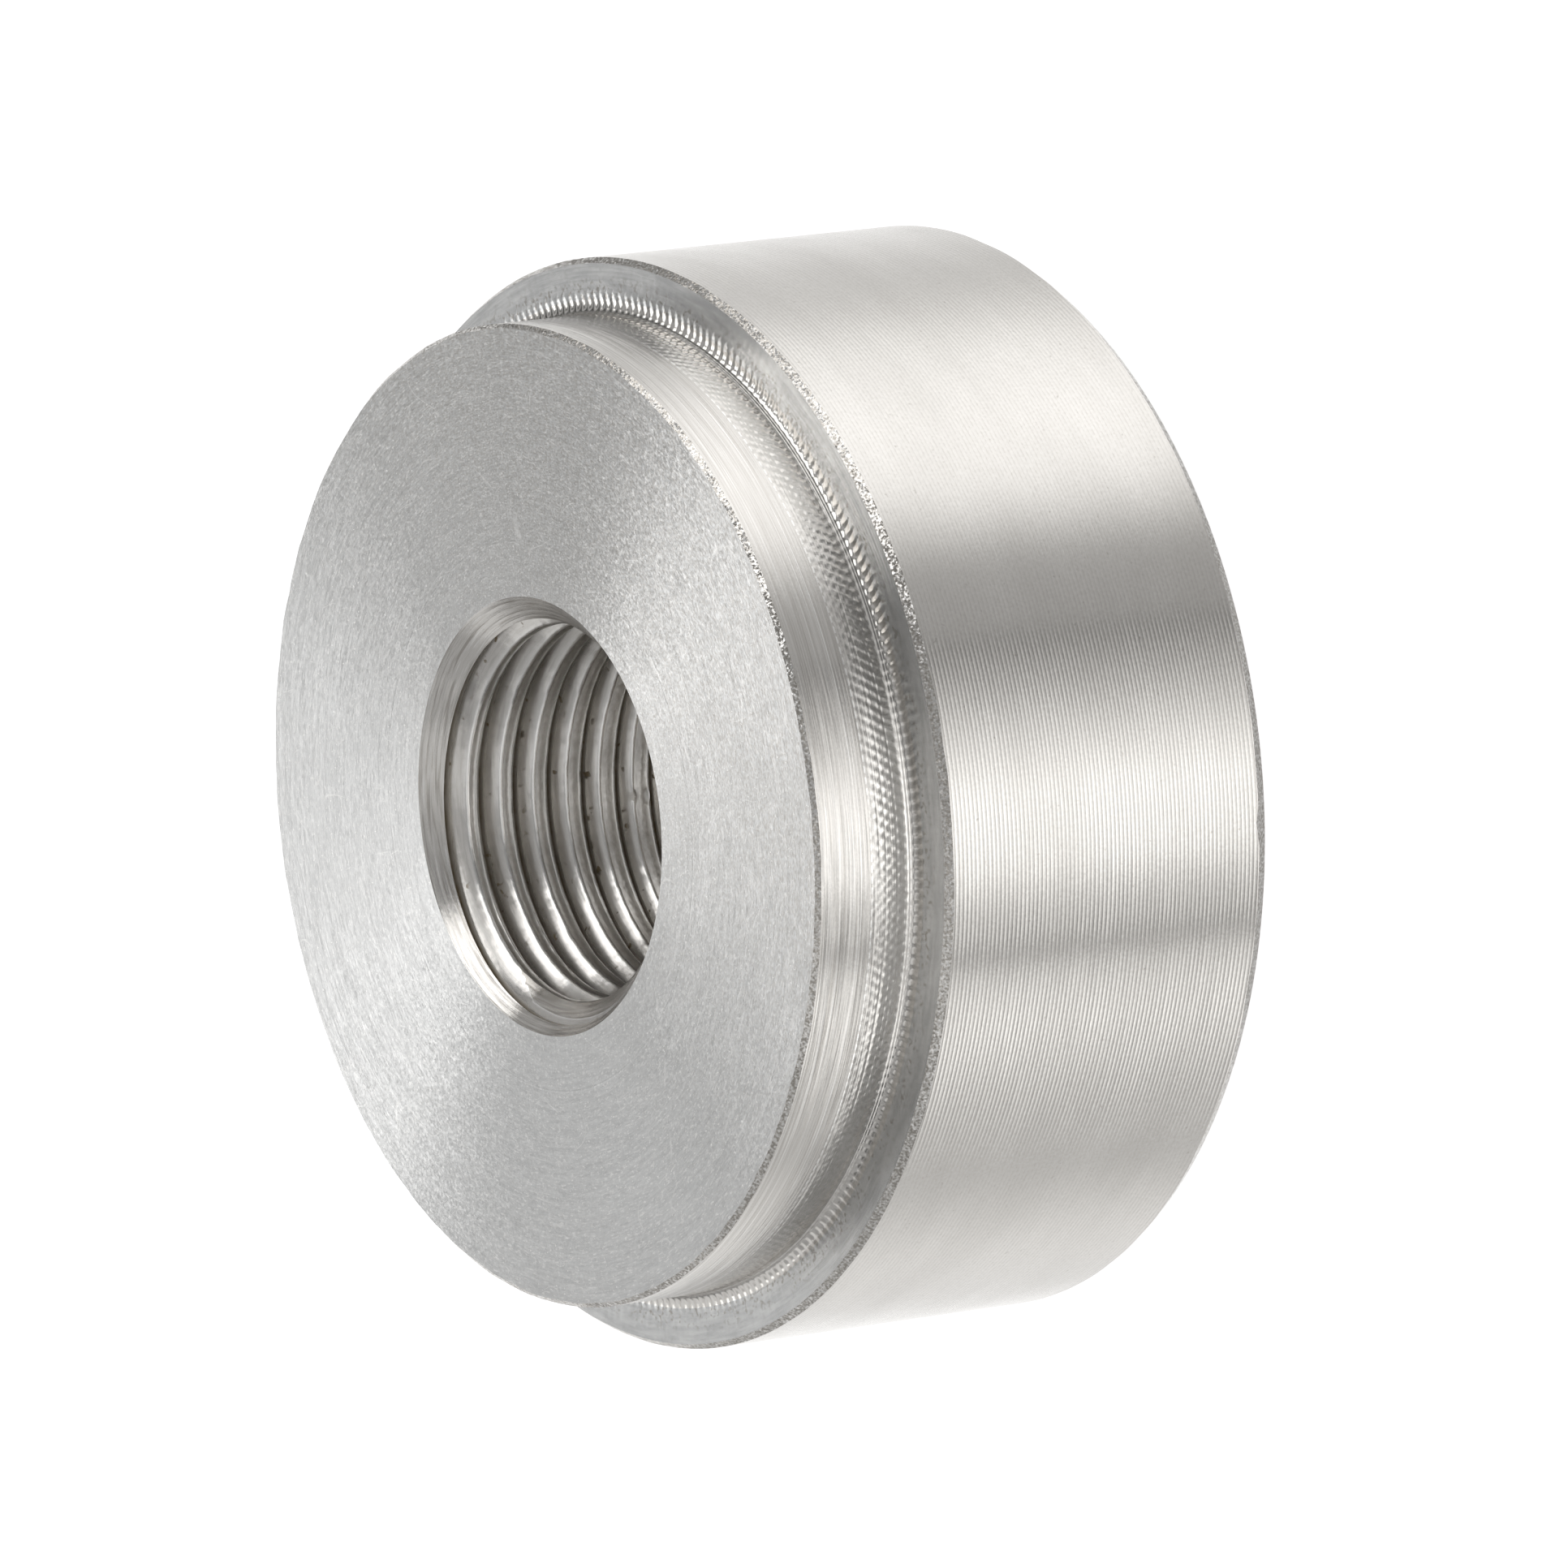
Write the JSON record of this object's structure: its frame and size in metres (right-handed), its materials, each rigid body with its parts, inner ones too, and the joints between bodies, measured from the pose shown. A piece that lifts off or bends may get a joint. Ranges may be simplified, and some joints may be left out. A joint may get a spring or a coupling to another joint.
{
  "type": "weld bung",
  "caption": "Stepped weld bung: a turned round body with a short locating pilot and a through bore for a fine taper pipe thread, countersunk at both mouths.",
  "frame": {"origin": "centre of the large base face, on the bore's axis", "axes": "+Z along the bore, from the base face towards the pilot; the piece is round, so X and Y are free"},
  "size_m": [0.0254, 0.0254, 0.0116],
  "materials": {
    "turned_steel": "bright as-turned stainless steel with fine feed marks"
  },
  "bodies": {
    "root": {"bung": "turned_steel"}
  },
  "joints": []
}
